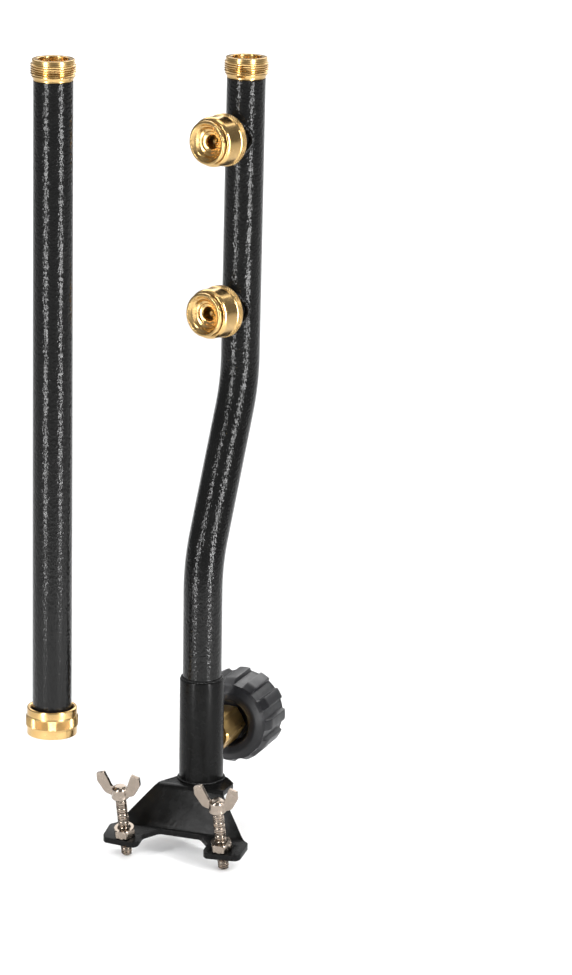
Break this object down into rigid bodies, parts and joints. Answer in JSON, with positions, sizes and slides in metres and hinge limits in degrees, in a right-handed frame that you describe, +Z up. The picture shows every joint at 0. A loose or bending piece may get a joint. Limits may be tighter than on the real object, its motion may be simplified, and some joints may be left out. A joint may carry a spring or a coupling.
{
  "type": "gas distribution post",
  "caption": "S-bent steel gas post with brass outlets, a handwheel inlet nut and a foot bracket with wing screws, with a straight extension post beside it.",
  "frame": {"origin": "centre of the handwheel nut's open mouth, where the gas bottle's valve enters", "axes": "+Y towards the bottle's valve, +Z up along the post, +X to the right of someone facing the valve"},
  "size_m": [0.1273, 0.1385, 0.4591],
  "materials": {
    "paint": "glossy black powder coat with a fine pebbled grain",
    "brass": "bright turned brass",
    "zinc_plate": "bright zinc plate",
    "black_plastic": "satin moulded plastic",
    "rubber": "matt black rubber",
    "spring_steel": "drawn spring wire"
  },
  "bodies": {
    "root": {"post_tube": "paint", "base_sleeve": "paint", "base_plug": "paint", "sleeve_base_weld": "paint", "sleeve_top_weld": "paint", "foot_bracket": "paint", "inlet_nipple": "brass", "thermal_bushing": "black_plastic", "nipple_seal": "rubber", "flow_limiter_spring": "spring_steel", "flow_limiter_clip": "spring_steel", "top_outlet": "brass", "top_valve_spring": "spring_steel", "top_spring_clip": "spring_steel", "upper_outlet_nozzle": "brass", "upper_outlet_collar": "brass", "upper_outlet_weld": "paint", "upper_valve_spring": "spring_steel", "upper_spring_clip": "spring_steel", "lower_outlet_nozzle": "brass", "lower_outlet_collar": "brass", "lower_outlet_weld": "paint", "lower_valve_spring": "spring_steel", "lower_spring_clip": "spring_steel"},
    "handwheel": {"handwheel_nut": "black_plastic"},
    "flow_limiter": {"flow_limiter_poppet": "brass"},
    "top_valve": {"top_valve_stem": "brass", "top_valve_seal": "rubber"},
    "upper_valve": {"upper_valve_stem": "brass", "upper_valve_seal": "rubber"},
    "lower_valve": {"lower_valve_stem": "brass", "lower_valve_seal": "rubber"},
    "left_rod": {"left_screw_rod": "zinc_plate"},
    "left_wing": {"left_wing_head": "zinc_plate"},
    "left_nut": {"left_jam_nut": "zinc_plate"},
    "right_rod": {"right_screw_rod": "zinc_plate"},
    "right_wing": {"right_wing_head": "zinc_plate"},
    "right_nut": {"right_jam_nut": "zinc_plate"},
    "extension": {"extension_tube": "paint", "extension_tail": "brass", "extension_o_ring": "rubber", "extension_outlet": "brass", "extension_valve_spring": "spring_steel", "extension_spring_clip": "spring_steel"},
    "extension_valve": {"extension_valve_stem": "brass", "extension_valve_seal": "rubber"},
    "coupling": {"coupling_nut": "brass"}
  },
  "joints": [
    {"name": "handwheel_spin", "type": "hinge", "parent": "root", "child": "handwheel", "pos_m": [0, 0, 0], "axis": [0, 1, 0], "continuous": true},
    {"name": "flow_limiter_shut", "type": "slide", "parent": "root", "child": "flow_limiter", "axis": [0, -1, 0], "range_m": [0, 0.002], "stiffness_N_per_m": 500, "springref_m": -0.002, "deforming": ["flow_limiter_spring"]},
    {"name": "top_valve_push", "type": "slide", "parent": "root", "child": "top_valve", "axis": [0, -0.0262, -0.9997], "range_m": [0, 0.002], "stiffness_N_per_m": 500, "springref_m": -0.002, "deforming": ["top_valve_spring"]},
    {"name": "upper_valve_push", "type": "slide", "parent": "root", "child": "upper_valve", "axis": [0.2924, 0.956, -0.025], "range_m": [0, 0.002], "stiffness_N_per_m": 500, "springref_m": -0.002, "deforming": ["upper_valve_spring"]},
    {"name": "lower_valve_push", "type": "slide", "parent": "root", "child": "lower_valve", "axis": [0.2924, 0.956, -0.025], "range_m": [0, 0.002], "stiffness_N_per_m": 500, "springref_m": -0.002, "deforming": ["lower_valve_spring"]},
    {"name": "left_screw_advance", "type": "slide", "parent": "root", "child": "left_rod", "axis": [0, -0.2588, 0.9659], "range_m": [-0.0073, 0.0073]},
    {"name": "left_wing_turn", "type": "hinge", "parent": "left_rod", "child": "left_wing", "pos_m": [-0.0297, -0.1104, -0.04679], "axis": [0, -0.2588, 0.9659], "range_deg": [-2070, 2070]},
    {"name": "left_jam_nut_turn", "type": "hinge", "parent": "root", "child": "left_nut", "pos_m": [-0.0297, -0.1104, -0.04679], "axis": [0, -0.2588, 0.9659], "continuous": true},
    {"name": "right_screw_advance", "type": "slide", "parent": "root", "child": "right_rod", "axis": [0, -0.2588, 0.9659], "range_m": [-0.0073, 0.0073]},
    {"name": "right_wing_turn", "type": "hinge", "parent": "right_rod", "child": "right_wing", "pos_m": [0.0297, -0.1104, -0.04679], "axis": [0, -0.2588, 0.9659], "range_deg": [-2070, 2070]},
    {"name": "right_jam_nut_turn", "type": "hinge", "parent": "root", "child": "right_nut", "pos_m": [0.0297, -0.1104, -0.04679], "axis": [0, -0.2588, 0.9659], "continuous": true},
    {"name": "extension_lift", "type": "slide", "parent": "root", "child": "extension", "axis": [0, 0, 1], "range_m": [0, 0.4]},
    {"name": "extension_valve_push", "type": "slide", "parent": "extension", "child": "extension_valve", "axis": [0, 0, -1], "range_m": [0, 0.002], "stiffness_N_per_m": 500, "springref_m": -0.002, "deforming": ["extension_valve_spring"]},
    {"name": "coupling_spin", "type": "hinge", "parent": "extension", "child": "coupling", "pos_m": [-0.07, -0.122, 0.0125], "axis": [0, 0, 1], "continuous": true}
  ],
  "couplings": [
    {"joint": "left_wing_turn", "follows": "left_screw_advance", "rad_per_m": 4947.4},
    {"joint": "right_wing_turn", "follows": "right_screw_advance", "rad_per_m": 4947.4}
  ]
}
